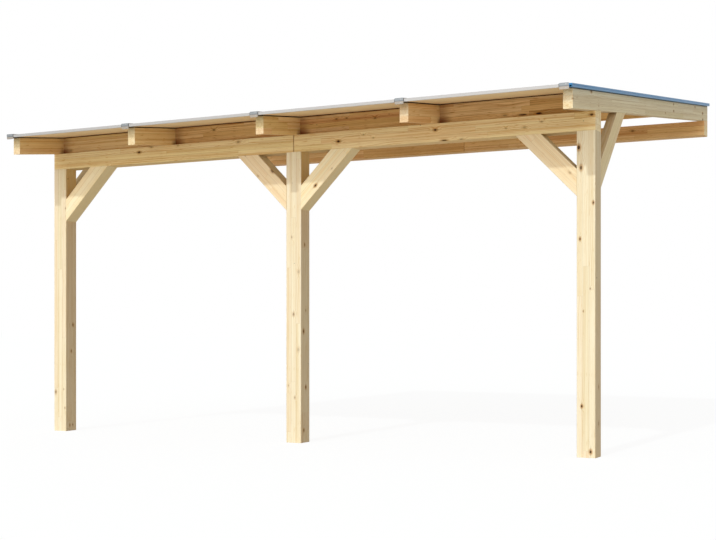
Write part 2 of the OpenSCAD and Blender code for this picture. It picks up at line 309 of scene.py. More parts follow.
    # Pin knots: in a few of the cells of a cell pattern, one small ball of dark wood
    cell_place = add(tree, "VectorMath DIVIDE", {0: grain, 1: PIN_KNOT_CELL})
    cell_draw = add(tree, "VectorMath ADD", {0: cell_place, 1: given["Seed"]})
    cells = add(tree, "TexVoronoi", {"Scale": 1.0, "Vector": cell_draw}).outputs
    to_point = add(tree, "VectorMath SUBTRACT", {0: cells["Position"], 1: cell_draw})
    to_point_m = add(tree, "VectorMath MULTIPLY", {0: to_point, 1: PIN_KNOT_CELL})
    pin_far = add(tree, "VectorMath LENGTH", {0: to_point_m})
    pin_draw = add(tree, "SeparateColor", {0: cells["Color"]})
    pin_size = add(tree, "MapRange", {"From Min": 0.88, "To Max": 0.0055, "Value": pin_draw})
    pin_gap = add(tree, "Math SUBTRACT", {0: pin_size, 1: pin_far})
    pin = add(tree, "MapRange", {"From Min": -0.0012, "From Max": 0.001, "To Max": 0.6, "Value": pin_gap})
    pins_on = add(tree, "Math GREATER_THAN", {0: pin_size, 1: 0.0008})
    pins = add(tree, "Math MULTIPLY", {0: pin, 1: pins_on})
    heart = add(tree, "Math MAXIMUM", {0: pins, 1: given["Heart"]})
    ring_share = add(tree, "Math MULTIPLY", {0: given["Ring"], 1: 0.75})
    ringed = add(tree, "Mix RGBA", {0: ring_share, 6: tinted, 7: "#C48E4C"})
    knotted = add(tree, "Mix RGBA", {0: heart, 6: ringed, 7: "#38200A"})

    # Glue lines between lamellae and at the boards' ends: real ones are 0.2 mm, drawn 1 mm to show
    to_middle = add(tree, "Math PINGPONG", {0: layers, 1: 0.5})
    glue_far = add(tree, "Math MULTIPLY", {0: to_middle, 1: given["Lamella"]})
    glue_fade = {"Value": glue_far, "From Min": 0.0004, "From Max": 0.0012, "To Min": 0.30, "To Max": 0.0}
    glue = add(tree, "MapRange", glue_fade)
    end_far = add(tree, "Math MULTIPLY", {0: in_board, 1: BOARD_LENGTH})
    butt_fade = {"Value": end_far, "From Min": 0.0006, "From Max": 0.0022, "To Min": 0.22, "To Max": 0.0}
    butt = add(tree, "MapRange", butt_fade)
    lines = add(tree, "Math MAXIMUM", {0: glue, 1: butt})
    glued = add(tree, "Mix RGBA", {0: lines, 6: knotted, 7: "#8A6238"})

    # Planed spruce is satin: late wood and knots are denser and shine a little more
    roughness = add(tree, "MapRange", {"To Min": 0.72, "To Max": 0.58, "Value": darkness})
    ridge = add(tree, "Math MULTIPLY_ADD", {0: fibre, 1: 0.35, 2: late_share})
    bump_knot = add(tree, "Math MULTIPLY_ADD", {0: heart, 1: 1.2, 2: ridge})
    bump = add(tree, "Math MULTIPLY_ADD", {0: lines, 1: -3.0, 2: bump_knot})
    add(tree, "NodeGroupOutput", {"Color": glued, "Roughness": roughness, "Height": bump})
    return tree


GLULAM = glulam_group()
print("glulam group:", len(GLULAM.nodes), "nodes")

# %% [markdown]
# Each timber now gets a material of its own: a Mapping node turns the object's coordinates into that
# timber's grain, so the same group serves upright, level, sloping and diagonal pieces. A seed gives it
# other boards than its neighbour, and a short list puts its few large knots where they are. The long
# faces are planed and the ends are sawn: sawn fibres stand up and scatter the light, so a face whose
# normal runs along the grain gets a paler pair of tones. Some timbers have a second, warmer pair of
# tones painted on the faces that don't look out to the front, as painted shade: out of the sun, under
# the roof, those faces look deeper and more golden.

# %% A timber's material
# Early wood, late wood, and how much one board differs from the next
PALE = ("#F9EDD4", "#E6CDA0", 0.3)
WARM = ("#FDE8C6", "#F0CF9E", 0.15)
FRESH = ("#FFEFCC", "#FADCA6", 0.15)
BUFF = ("#EFDFBF", "#DABF8C", 0.3)
HONEY = ("#FFE0AC", "#D7A160", 0.8)
GOLDEN = ("#FFEBBB", "#D8A562", 0.6)
AMBER = ("#FCD6A2", "#C88C50", 0.6)
RUSSET = ("#FFDBA6", "#BC7E42", 1.0)
COOL_SKY_GREY = ("#E9DFC9", "#C8B28E", 0.6)
SAWN = ("#FBEBCB", "#E3C28E")
# Brown for the dark line of a butt joint, and for painted shade in corners and along board tops
DIRT_AND_SHADE = "#7C3D18"
ROUND_KNOT = 0.62


def glulam(name, corner, along, across, seed, wood=PALE, lamella=LAMELLA, knots=(), stains_and_shade=(), shade_tones=None):
    """Planed glulam for one timber, put on the node of that name. Lengths are in metres. Knots are
    (along, across, up the stack, radius, depth of tone) and, for a spike knot, how much it is drawn out.
    Stains and painted shade are (along, up the stack, reach along, reach up, depth). The last argument is a
    pair of tones painted as shade on the faces that don't look out to the front, and where along the grain
    they start and are full."""
    material, tree = new_material(f"planed_glulam_spruce_{name}")
    turn = Matrix((along, across, along.cross(across))).transposed().to_euler()
    coordinates = add(tree, "TexCoord").outputs
    to_grain = {"vector_type": "TEXTURE", "Location": corner, "Rotation": turn, "Vector": coordinates["Object"]}
    grain = add(tree, "Mapping", to_grain)
    turned_to_grain = add(tree, "VectorMath DOT_PRODUCT", {0: coordinates["Normal"], 1: along})
    either_end = add(tree, "Math ABSOLUTE", {0: turned_to_grain})
    sawn = add(tree, "Math GREATER_THAN", {0: either_end, 1: 0.9})
    tones = [add(tree, "Mix RGBA", {0: sawn, 6: planed, 7: rough_cut}) for planed, rough_cut in zip(wood, SAWN)]
    # Painted shade: faces that don't look out to the front take the second, warmer pair of tones
    if shade_tones:
        *shade_pair, start, end = shade_tones
        facing = add(tree, "SeparateXYZ", {0: coordinates["Normal"]}).outputs
        turned_to_shade = add(tree, "Math GREATER_THAN", {0: facing["Y"], 1: -0.5})
        place = add(tree, "SeparateXYZ", {0: grain})
        under_roof = add(tree, "MapRange", {"From Min": start, "From Max": end, "Value": place})
        share = add(tree, "Math MULTIPLY", {0: turned_to_shade, 1: under_roof})
        tones = [add(tree, "Mix RGBA", {0: share, 6: pale, 7: shaded_tone}) for pale, shaded_tone in zip(tones, shade_pair)]
    feeds = {"Grain": grain, "Early wood": tones[0], "Late wood": tones[1]}
    for along_grain, over, up, radius, depth, *spike in knots:
        form = {"Radius": radius, "Depth": depth, "Along the grain": spike[0] if spike else ROUND_KNOT}
        settings = {"node_tree": KNOT, "Grain": grain, "Centre": (along_grain, over, up), **form}
        knot = add(tree, "Group", settings)
        for part in ("Heart", "Ring", "Push"):
            one = knot.outputs[part]
            feeds[part] = add(tree, "Math MAXIMUM", {0: feeds[part], 1: one}) if part in feeds else one
    settings = {"node_tree": GLULAM, "Lamella": lamella, "Seed": float(seed), "Board contrast": wood[2]}
    timber = add(tree, "Group", {**settings, **feeds}).outputs
    # Dust and damp stain the wood softly round a butt joint, and the same brown is painted softly into corners
    # and along board tops as painted shade
    stained_and_shaded = timber["Color"]
    for along_grain, up, reach, reach_up, depth in stains_and_shade:
        away = add(tree, "VectorMath SUBTRACT", {0: grain, 1: (along_grain, 0, up)})
        scaled = add(tree, "VectorMath MULTIPLY", {0: away, 1: (1 / reach, 0, 1 / reach_up)})
        far = add(tree, "VectorMath LENGTH", {0: scaled})
        fade = {"Value": far, "From Min": 0.1, "To Min": depth, "To Max": 0.0}
        soft = add(tree, "MapRange", {"interpolation_type": "SMOOTHSTEP", **fade})
        stained_and_shaded = add(tree, "Mix RGBA", {0: soft, 6: stained_and_shaded, 7: DIRT_AND_SHADE})
    bump = add(tree, "Bump", {"Strength": 0.35, "Distance": 0.0006, "Height": timber["Height"]})
    looks = {"Base Color": stained_and_shaded, "Roughness": timber["Roughness"], "IOR": 1.5, "Specular IOR Level": 0.15}
    add(tree, "OutputMaterial", {"Surface": add(tree, "BsdfPrincipled", {**looks, "Normal": bump})})
    finish_with(name, material)
    return material


# %% [markdown]
# ## Posts
# In a post the lamellae stand upright, side by side along the wall, so their glue lines run up the
# front face. The grain starts at the foot. Knots on the front face lie at no depth, and those on the
# right face lie a post's width up the stack.

# %% Posts
POST_KNOTS = {
    "post_left": [
        (0.302, 0, 0.017, 0.009, 0.6), (0.825, -0.08, TIMBER, 0.0075, 0.9),
        (0.62, -0.06, TIMBER, 0.0068, 0.7), (0.045, -0.078, TIMBER, 0.006, 0.6),
        (0.043, -0.044, TIMBER, 0.006, 0.6), (0.18, 0, 0.107, 0.005, 0.4), (0.325, 0, 0.095, 0.005, 0.3),
        (1.73, 0, 0.115, 0.006, 0.4),
    ],
    "post_middle": [
        (0.652, 0, 0.098, 0.01, 0.25), (1.197, 0, 0.1, 0.009, 0.25), (0.317, 0, 0.07, 0.006, 0.4),
        (0.087, -0.04, TIMBER, 0.0075, 0.9), (0.388, -0.067, TIMBER, 0.008, 1.0),
        (0.78, -0.037, TIMBER, 0.0088, 1.0), (1.388, -0.052, TIMBER, 0.007, 0.7),
        (0.927, -0.067, TIMBER, 0.006, 0.5), (0.4, 0, 0.02, 0.005, 0.3), (0.9, 0, 0.06, 0.008, 0.5),
        (1.44, 0, 0.045, 0.006, 0.35),
    ],
    "post_right": [
        (0.038, 0, 0.09, 0.0085, 0.9), (0.32, 0, 0.033, 0.0068, 1.0), (1.362, 0, 0.022, 0.0065, 0.85),
        (1.585, 0, 0.107, 0.0065, 0.85), (1.805, 0, 0.028, 0.01, 0.8), (1.933, 0, 0.014, 0.0105, 0.95),
        (0.912, 0, 0.043, 0.004, 0.5), (1.052, 0, 0.088, 0.004, 0.5), (0.21, -0.07, TIMBER, 0.009, 0.4),
        (0.44, -0.07, TIMBER, 0.009, 0.4),
    ],
}
# Painted shade: the posts' sides get warmer, more golden tones close under the roof, which shades them
SHADE_NEAR_THE_BEAM = ("#FFE6AC", "#FACE80", 1.6, 1.8)
for number, (post, knots) in enumerate(POST_KNOTS.items()):
    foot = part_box(post)[0]
    shade_tones = None if post == "post_right" else SHADE_NEAR_THE_BEAM
    glulam(post, foot, UPRIGHT, -INTO_WALL, 11 + number, knots=knots, shade_tones=shade_tones)
print("posts:", ", ".join(POST_KNOTS))

# %% [markdown]
# ## Beams and blocking boards
# These lie level with their lamellae flat. The light comes to them from the terrace and through the
# roof, so they look more golden than the posts, and their wood is a little darker to match.

# %% Beams and blocking boards
BEAM_KNOTS = {
    "front_beam_left": [
        (0.825, 0, 0.084, 0.01, 0.9), (0.938, 0, 0.118, 0.01, 0.5), (1.71, 0, 0.102, 0.01, 0.45),
        (1.18, 0, 0.111, 0.006, 0.4),
    ],
    "front_beam_right": [
        (0.356, 0, 0.051, 0.0095, 1.0), (1.084, 0, 0.077, 0.0085, 1.0), (1.148, 0, 0.003, 0.006, 0.9, 0.25),
        (1.27, 0, 0.003, 0.005, 0.5, 0.3), (2.146, 0, 0.096, 0.009, 0.9), (1.82, 0, 0.077, 0.006, 0.5),
        (1.706, 0, 0.049, 0.008, 0.35), (0.55, 0, 0.083, 0.005, 0.4), (0.625, 0, 0.057, 0.005, 0.4),
        (1.58, 0, 0.052, 0.005, 0.4),
    ],
    "wall_beam_left": [(1.96, 0, 0.1, 0.012, 0.7)],
    "wall_beam_right": [(1.563, 0, 0.077, 0.01, 0.7)],
}
for number, (beam, knots) in enumerate(BEAM_KNOTS.items()):
    low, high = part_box(beam)
    wood = GOLDEN if beam.startswith("front") else AMBER
    # The two lengths of a beam meet in a butt joint, which shows as a faint dark line
    joint = (high.x - low.x if beam.endswith("left") else 0.0, TIMBER / 2, 0.007, 1.0, 0.4)
    glulam(beam, low, ALONG_WALL, INTO_WALL, 31 + number, wood, knots=knots, stains_and_shade=[joint])

BLOCKING_KNOTS = {
    1: [(0.075, 0, 0.022, 0.01, 0.25)],
    2: [(0.342, 0, 0.086, 0.008, 0.7)],
    3: [(0.29, 0, 0.088, 0.007, 0.6), (0.37, 0, 0.088, 0.006, 0.6), (0.59, 0, 0.072, 0.007, 0.7)],
    4: [
        (0.58, 0, 0.012, 0.006, 0.9, 0.18), (0.69, 0, 0.013, 0.008, 1.0, 0.3),
        (0.46, 0, 0.017, 0.006, 0.4, 0.3),
    ],
}
THIN_LAMELLA = 0.034
# Painted shade on the board: in the corner with the rafter, over the beam, and along the board's top under the
# sheets
CORNER_SHADE = [(0.0, 0.05, 0.1, 0.14, 0.4), (0.0, 0.004, 0.11, 0.055, 0.85), (0.5, 0.122, 4.0, 0.008, 0.4)]
for i, knots in BLOCKING_KNOTS.items():
    wood = HONEY if i == 1 else RUSSET
    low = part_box(f"blocking_{i}")[0]
    glulam(f"blocking_{i}", low, ALONG_WALL, INTO_WALL, 41 + i, wood, THIN_LAMELLA, knots, CORNER_SHADE)
print("beams:", ", ".join(BEAM_KNOTS), "and", len(BLOCKING_KNOTS), "blocking boards")

# %% [markdown]
# ## Rafters
# A rafter's grain starts at the plumb cut of its tail and rises with the roof. Its lamellae lie
# parallel to the roof.

# %% Rafters
RAFTER_KNOTS = {
    5: [
        (0.013, 0, 0.058, 0.006, 0.5), (0.38, 0, 0.114, 0.01, 0.7), (0.525, 0, 0.03, 0.006, 0.3),
        (2.22, 0, 0.03, 0.007, 0.5), (2.477, 0, 0.051, 0.008, 0.8), (2.477, 0, 0.102, 0.008, 0.6),
        (3.203, 0, 0.102, 0.01, 0.5), (3.477, 0, 0.058, 0.01, 0.9), (3.477, 0, 0.008, 0.009, 0.8),
    ],
}
for i in range(1, 6):
    low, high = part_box(f"rafter_{i}")
    tail = Vector((high.x, low.y, low.z))
    # Painted light and shade: the outer rafter is greyer, for the cool open sky on its outer face, and the
    # others are golden, for the shade under the roof
    wood = COOL_SKY_GREY if i == 5 else HONEY
    # The same painted shade as on the blocking, where the board meets the rafter's right side
    to_board = (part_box("blocking_1")[0].y - low.y) / math.cos(PITCH)
    stains_and_shade = [(to_board, 0.0, 0.06, 0.05, 0.4)] if i < 5 else ()
    knots = RAFTER_KNOTS.get(i, ())
    glulam(f"rafter_{i}", tail, UP_SLOPE, -ALONG_WALL, 51 + i, wood, knots=knots, stains_and_shade=stains_and_shade)
print("five rafters finished")

# %% [markdown]
# ## Braces
# The braces stand at 45 degrees, so their grain does too. The front ones lie in the plane of the
# posts and alternate left and right; the two back ones run up to the outer rafters.

# %% Braces
BRACE_KNOTS = {
    2: [(0.281, 0, 0.118, 0.011, 0.7), (0.345, 0, 0.014, 0.006, 0.3), (0.53, 0, 0.045, 0.005, 0.4)],
    3: [(0.197, 0, 0.033, 0.009, 0.9), (0.367, 0, 0.019, 0.005, 0.3)],
    4: [(0.136, 0, 0.074, 0.007, 0.35)],
}
# Painted shade: a brace's sides and back get the warmer tones over its whole length, so the change lies before
# its foot
SHADE_ALL_ALONG = ("#FFF3D0", "#FFE8B8", -2.0, -1.0)
for i in range(1, 5):
    low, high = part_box(f"front_brace_{i}")
    rises_right = i % 2 == 1
    foot = Vector((low.x if rises_right else high.x, low.y, low.z))
    along = ((ALONG_WALL if rises_right else -ALONG_WALL) + UPRIGHT).normalized()
    across = INTO_WALL if rises_right else -INTO_WALL
    wood = FRESH if rises_right else WARM
    knots = BRACE_KNOTS.get(i, ())
    glulam(f"front_brace_{i}", foot, along, across, 61 + i, wood, knots=knots, shade_tones=SHADE_ALL_ALONG)
for number, side in enumerate(("left", "right")):
    low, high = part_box(f"back_brace_{side}")
    foot = Vector((high.x, low.y, low.z))
    along = (INTO_WALL + UPRIGHT).normalized()
    glulam(f"back_brace_{side}", foot, along, -ALONG_WALL, 71 + number, BUFF)
print("six braces finished")

# %% [markdown]
# ## Twin-wall sheets
# The sheets are extruded polycarbonate: two thin walls held apart by ribs. The material is clear but
# slightly milky, so it lets light through and still catches a sheen, and at a flat angle one no
# longer looks through it. Real glass shaders would bend the sun into patterns that take very long to
# render. An alpha that rises from the Fresnel term gives the same look: see-through straight on, solid
# along the surface, and part of the sunlight passes. Above, rain keeps the sheet satin and its own
# milky white shows more. Below, a film of dust makes it matt, and it is painted the tan of the timber
# that it mirrors at a flat angle, as painted reflection.

# %% Polycarbonate
def streaks_on_roof(tree, place, changes, detail):
    """Noise drawn out into streaks. changes says how often it changes in a metre along X, Y and Z."""
    stretched = add(tree, "Mapping", {"Rotation": (-PITCH, 0, 0), "Scale": changes, "Vector": place})
    return add(tree, "TexNoise", {"Scale": 1.0, "Detail": detail, "Vector": stretched})


def twin_wall_polycarbonate():
    material, tree = new_material("extruded_polycarbonate_twin_wall")
    place = add(tree, "TexCoord").outputs["Object"]
    # Extrusion leaves faint lines up the slope, some 4 mm apart
    lines = streaks_on_roof(tree, place, (260.0, 0.6, 40.0), 2.0)
    # Each chamber between two ribs catches the light a little differently
    chambers = streaks_on_roof(tree, place, (25.0, 0.15, 4.0), 1.0)
    streaks = add(tree, "MapRange", {"From Min": 0.35, "From Max": 0.65, "Value": chambers})
    milk = add(tree, "Mix RGBA", {0: streaks, 6: "#FAFDFF", 7: "#E9F0F4"})
    # A face that looks down is rougher from dust and clearer, and it is painted the tan of the timber it
    # mirrors, as painted reflection
    facing = add(tree, "SeparateXYZ", {0: add(tree, "NewGeometry").outputs["True Normal"]}).outputs
    below = add(tree, "Math LESS_THAN", {0: facing["Z"], 1: 0.0})
    dusty = add(tree, "Mix RGBA", {0: below, 6: milk, 7: "#E9CDA4"})
    fine = add(tree, "Math MULTIPLY_ADD", {0: lines, 1: 0.08, 2: 0.24})
    rough = add(tree, "Math MULTIPLY_ADD", {0: below, 1: 0.36, 2: fine})
    clearest = add(tree, "Math MULTIPLY_ADD", {0: below, 1: -0.21, 2: 0.50})
    mirror = add(tree, "Fresnel", {"IOR": 1.58})
    solid = add(tree, "MapRange", {"From Min": 0.05, "From Max": 0.6, "Value": mirror, "To Min": clearest})
    bump = add(tree, "Bump", {"Strength": 0.08, "Distance": 0.0005, "Height": lines})
    looks = {"Base Color": dusty, "Roughness": rough, "Alpha": solid, "IOR": 1.58, "Specular IOR Level": 0.25}
    add(tree, "OutputMaterial", {"Surface": add(tree, "BsdfPrincipled", {**looks, "Normal": bump})})
    return material


SHEET = twin_wall_polycarbonate()
finish_with("roof_sheet_", SHEET)
print("sheets:", SHEET.name)

# %% [markdown]
# ## Metal
# The cover bars and the channels on the sheets' ends are extruded aluminium. A die draws fine lines
# along an extrusion, and mill-finished metal has no coat, so those lines show as streaks in the gloss.
# The noise is stretched along the profile: up the slope for the bars and along the wall for the
# channels. The caps are pressed from sheet with a groove across the middle. The groove is drawn darker,
# and the half below it is painted paler, as painted reflection of the pale ground.

# %% Aluminium
CAP_MIDDLE = 0.1305
GROOVE_HALF = 0.002
UP_SLOPE_LINES = (700.0, 1.5, 700.0)
ALONG_WALL_LINES = (1.5, 700.0, 700.0)


def end_two_toned(tree, share, tones, rough, looks, relief=None, patches=()):
    """Ends a material whose tone and roughness both go from the first to the second of a pair with a
    share. Patches of other tones may lie over it, and relief is a bump's strength, depth and height."""
    tone = add(tree, "Mix RGBA", {0: share, 6: tones[0], 7: tones[1]})
    for patch, patch_tone in patches:
        tone = add(tree, "Mix RGBA", {0: patch, 6: tone, 7: patch_tone})
    gloss = add(tree, "MapRange", {"To Min": rough[0], "To Max": rough[1], "Value": share})
    looks = {**looks, "Base Color": tone, "Roughness": gloss}
    if relief:
        looks["Normal"] = add(tree, "Bump", dict(zip(("Strength", "Distance", "Height"), relief)))
    add(tree, "OutputMaterial", {"Surface": add(tree, "BsdfPrincipled", looks)})


def extruded_aluminium(name, tones, rough, changes, groove=None):
    """Bare aluminium with die lines. groove is a pair of tones: below the caps' groove, painted paler as
    reflection of the pale ground, and in it, darker.
    """
    material, tree = new_material(name)
    place = add(tree, "TexCoord").outputs["Object"]
    die_lines = streaks_on_roof(tree, place, changes, 3.0)
    patches = ()
    # Painted reflection of the pale ground: below the groove the cap is paler. In the groove it is darker.
    if groove:
        middle = EAVE.dot(ROOF_NORMAL) + CAP_MIDDLE
        level = add(tree, "VectorMath DOT_PRODUCT", {0: place, 1: ROOF_NORMAL})
        below = add(tree, "Math LESS_THAN", {0: level, 1: middle})
        in_groove = add(tree, "Math COMPARE", {0: level, 1: middle, 2: GROOVE_HALF})
        patches = zip((below, in_groove), groove)
    gloss = (rough - 0.08, rough + 0.08)
    end_two_toned(tree, die_lines, tones, gloss, {"Metallic": 1.0}, (0.15, 0.0003, die_lines), patches)
    return material


BAR_METAL = extruded_aluminium("mill_finished_extruded_aluminium", ("#949BA1", "#B1B7BC"), 0.34, UP_SLOPE_LINES)
# Below the groove a paler tone, painted as reflection of the pale ground, and in the groove a darker one
CAP_METAL = extruded_aluminium(
    "pressed_aluminium_end_cap", ("#8C9092", "#9EA3A4"), 0.45, ALONG_WALL_LINES, ("#A79F94", "#7C7F82")
)
CHANNEL_METAL = extruded_aluminium(
    "satin_anodised_aluminium_channel", ("#AFADA9", "#C0BEBA"), 0.48, ALONG_WALL_LINES
)
finish_with("cover_bar_", BAR_METAL)
finish_with("bar_end_caps", CAP_METAL)
finish_with("front_edge_", CHANNEL_METAL)
finish_with("rear_edges", CHANNEL_METAL)
print("aluminium on bars, caps and channels")

# %% [markdown]
# The trims on the roof's outer edges are extruded too, but stove-enamelled blue. Enamel flows a
# little before it sets, which leaves a very fine orange peel, and it is glossy.

# %% Blue enamel
def blue_enamel():
    material, tree = new_material("stove_enamelled_aluminium_blue")
    place = add(tree, "TexCoord").outputs["Object"]
    peel = add(tree, "TexNoise", {"Scale": 450.0, "Detail": 1.0, "Vector": place})
    weather = streaks_on_roof(tree, place, (60.0, 1.2, 60.0), 3.0)
    looks = {"IOR": 1.5, "Specular IOR Level": 0.3}
    end_two_toned(tree, weather, ("#2A7BBA", "#3F8CC2"), (0.24, 0.40), looks, (0.12, 0.0002, peel))
    return material


TRIM = blue_enamel()
finish_with("side_trim_", TRIM)
print("trims:", TRIM.name)

# %% [markdown]
# ## Rubber
# The beds under the sheets are black EPDM, smooth from the die and browned by dust. The strips over the
# blocking are brown closed-cell foam: cut cells make it matt. Both pick up dust in soft patches.

# %% Rubber and foam
def soft_seal(name, clean, dusty, grain_scale, rough):
    material, tree = new_material(name)
    place = add(tree, "TexCoord").outputs["Object"]
    dust = add(tree, "TexNoise", {"Scale": 14.0, "Detail": 4.0, "Vector": place})
    pores = add(tree, "TexNoise", {"Scale": grain_scale, "Detail": 2.0, "Vector": place})
    looks = {"IOR": 1.5, "Specular IOR Level": 0.25}
    end_two_toned(tree, dust, (clean, dusty), (rough - 0.1, rough + 0.1), looks, (0.3, 0.0004, pores))
    return material


BED_RUBBER = soft_seal("extruded_epdm_rubber", "#2C1B0E", "#46321F", 900.0, 0.55)
FOAM = soft_seal("closed_cell_foam_strip", "#422409", "#553411", 500.0, 0.85)
finish_with("rubber_bed_", BED_RUBBER)
finish_with("foam_seals", FOAM)
print("rubber beds and foam strips")

# %% [markdown]
# ## Screws
# Each bar is screwed down through the gap between two sheets into the rafter, about every 38 cm, and
# each cap is held by two small screws. A screw is a head on a flange over a sealing washer. They are
# all alike and stand in rows, which is work for Geometry Nodes: a grid of points, one screw on each
# point, then the whole grid is turned and moved. The sizes are inputs of the tree, so the same tree
# gives the big hexagon heads on the bars and the small round heads on the caps. A flag on the washers
# tells the last node which faces are rubber.

# %% The screw tree
def screw_tree(metal, seal):
    tree = bpy.data.node_groups.new("Rows of screws", "GeometryNodeTree")
    inputs = [
        ("Width", "Float", 4.0), ("Length", "Float", 3.0), ("Across", "Int", 5), ("Down", "Int", 9),
        ("Flange", "Float", 0.0075), ("Head", "Float", 0.0046), ("Head sides", "Int", 6),
        ("Thickness", "Float", 0.0068), ("Place", "Vector"), ("Tilt", "Rotation"),
    ]
    add_sockets(tree, inputs, [("Geometry", "Geometry")])
    given = add(tree, "NodeGroupInput").outputs
    # The grid's size and its number of points, each along X and Y, are the group's first four inputs
    points = add(tree, "GeometryNodeMeshGrid", dict(enumerate(given[:4])))
    # One screw in shares of its thickness: the washer, the flange and the head, which narrows a little
    washer = add(tree, "GeometryNodeMeshCylinder", {"Vertices": 20, "Depth": 0.24, "Radius": given["Flange"]})
    washer_up = add(tree, "GeometryNodeTransform", {"Translation": (0, 0, 0.12), 0: washer})
    on_faces = {"data_type": "BOOLEAN", "domain": "FACE", "Name": "rubber_face", "Value": True}
    flagged = add(tree, "GeometryNodeStoreNamedAttribute", {**on_faces, 0: washer_up})
    flange_r = add(tree, "Math MULTIPLY", {0: given["Flange"], 1: 0.93})
    radii = {"Radius Bottom": flange_r, "Radius Top": given["Head"]}
    flange = add(tree, "GeometryNodeMeshCone", {"Vertices": 20, "Depth": 0.18, **radii})
    flange_up = add(tree, "GeometryNodeTransform", {"Translation": (0, 0, 0.24), 0: flange})
    head_top = add(tree, "Math MULTIPLY", {0: given["Head"], 1: 0.9})
    radii = {"Radius Bottom": given["Head"], "Radius Top": head_top}
    head = add(tree, "GeometryNodeMeshCone", {"Depth": 0.58, "Vertices": given["Head sides"], **radii})
    head_up = add(tree, "GeometryNodeTransform", {"Translation": (0, 0, 0.42), 0: head})
    screw = add(tree, "GeometryNodeJoinGeometry")
    for part in (flagged, flange_up, head_up):
        tree.links.new(part.outputs[0], screw.inputs[0])
    height = add(tree, "CombineXYZ", {"X": 1.0, "Y": 1.0, "Z": given["Thickness"]})
    sized = add(tree, "GeometryNodeTransform", {0: screw, "Scale": height})
    # No two screws stop at the same turn of the spanner
    any_turn = {"data_type": "FLOAT_VECTOR", "Min": (0, 0, 0), "Max": (0, 0, math.tau / 6), "Seed": 4}
    turned = add(tree, "FunctionNodeRandomValue", any_turn)
    placing = {"Points": points, "Instance": sized, "Rotation": turned}
    placed = add(tree, "GeometryNodeInstanceOnPoints", placing)
    tilting = {"Geometry": placed, "Translation": given["Place"], "Rotation": given["Tilt"]}
    tilted = add(tree, "GeometryNodeTransform", tilting)
    real = add(tree, "GeometryNodeRealizeInstances", {0: tilted})
    in_steel = add(tree, "GeometryNodeSetMaterial", {"Material": metal, 0: real})
    flag = add(tree, "GeometryNodeInputNamedAttribute", {"data_type": "BOOLEAN", "Name": "rubber_face"})
    on_washers = {0: in_steel, "Selection": flag.outputs["Attribute"]}
    in_rubber = add(tree, "GeometryNodeSetMaterial", {"Material": seal, **on_washers})
    add(tree, "NodeGroupOutput", {0: in_rubber})
    return tree


def new_object(name, data):
    """An object with this data, linked to the scene."""
    made = bpy.data.objects.new(name, data)
    bpy.context.scene.collection.objects.link(made)
    return made


def from_tree(name, tree, values):
    """A plain mesh from a geometry tree. The modifier's inputs are set by identifier, then it is removed."""
    holder = new_object(name + "_holder", bpy.data.meshes.new(name + "_holder"))
    modifier = holder.modifiers.new("tree", "NODES")
    modifier.node_group = tree
    for item in tree.interface.items_tree:
        if item.in_out == "INPUT" and item.name in values:
            modifier[item.identifier] = values[item.name]
    depsgraph = bpy.context.evaluated_depsgraph_get()
    mesh = bpy.data.meshes.new_from_object(holder.evaluated_get(depsgraph), depsgraph=depsgraph)
    bpy.data.objects.remove(holder)
    return new_object(name, mesh)


def stainless_steel():
    """Cold-headed steel: a bright satin with faint marks from the die."""
    material, tree = new_material("cold_headed_stainless_steel")
    place = add(tree, "TexCoord").outputs["Object"]
    marks = add(tree, "TexNoise", {"Scale": 900.0, "Detail": 3.0, "Vector": place})
    end_two_toned(tree, marks, ("#A5A5A3", "#C6C6C4"), (0.20, 0.38), {"Metallic": 1.0})
    return material


# %% Screws on the bars and in the caps
STEEL = stainless_steel()
SCREWS = screw_tree(STEEL, BED_RUBBER)
bar_low, bar_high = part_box("cover_bar_3")
# Levels in metres above the rafters' undersides, square to the roof
SHEET_TOP = 0.142
BAR_TOP = 0.148
# A bar's lowest front corner gives the front edge of the roof, measured up the slope
ROOF_FRONT = ((bar_low.y - EAVE.y) + BAR_TOP * math.sin(PITCH)) / math.cos(PITCH)
ROOF_BACK = ((bar_high.y - EAVE.y) + SHEET_TOP * math.sin(PITCH)) / math.cos(PITCH)
SCREW_MARGIN = 0.16
SCREW_PITCH = 0.38
SCREW_ROW = ROOF_BACK - ROOF_FRONT - 2 * SCREW_MARGIN
rows = {"Width": RAFTER_X[-1] - RAFTER_X[0], "Across": len(RAFTER_X)}
on_bars = {
    "Length": SCREW_ROW,
    "Down": 1 + round(SCREW_ROW / SCREW_PITCH),
    "Place": roof_place(0, (ROOF_FRONT + ROOF_BACK) / 2, BAR_TOP),
    "Tilt": (PITCH, 0, 0),
}
# The caps' screws sit right of the middle, where the rafter has room for them; their heads are sunk
CAP_THICKNESS = 0.003
CAP_SCREW_SHIFT = 0.012
SUNK = 0.0018
in_caps = {
    "Length": 0.022,
    "Down": 2,
    "Flange": 0.0042,
    "Head": 0.0034,
    "Head sides": 16,
    "Thickness": 0.0022,
    "Place": roof_place(CAP_SCREW_SHIFT, ROOF_FRONT - CAP_THICKNESS + SUNK, CAP_MIDDLE),
    "Tilt": (PITCH + math.pi / 2, 0, 0),
}
for name, sizes in (("bar_screws", on_bars), ("cap_screws", in_caps)):
    screws = from_tree(name, SCREWS, {**rows, **sizes})
    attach(screws, "root")
    print(screws.name, len(screws.data.polygons), "faces")

# %% [markdown]
# ## Rubber lips and end plugs
# A bar would rattle and leak on bare sheets, so a black EPDM lip runs along each of its edges, and a
# plug closes the end of each front channel beside the caps. The plugs' dark rubber also stands for the
# shaded gap between cap and channel, as painted shade. Both are straight runs of one small section, so
# a few corner points and a list of stations are enough.

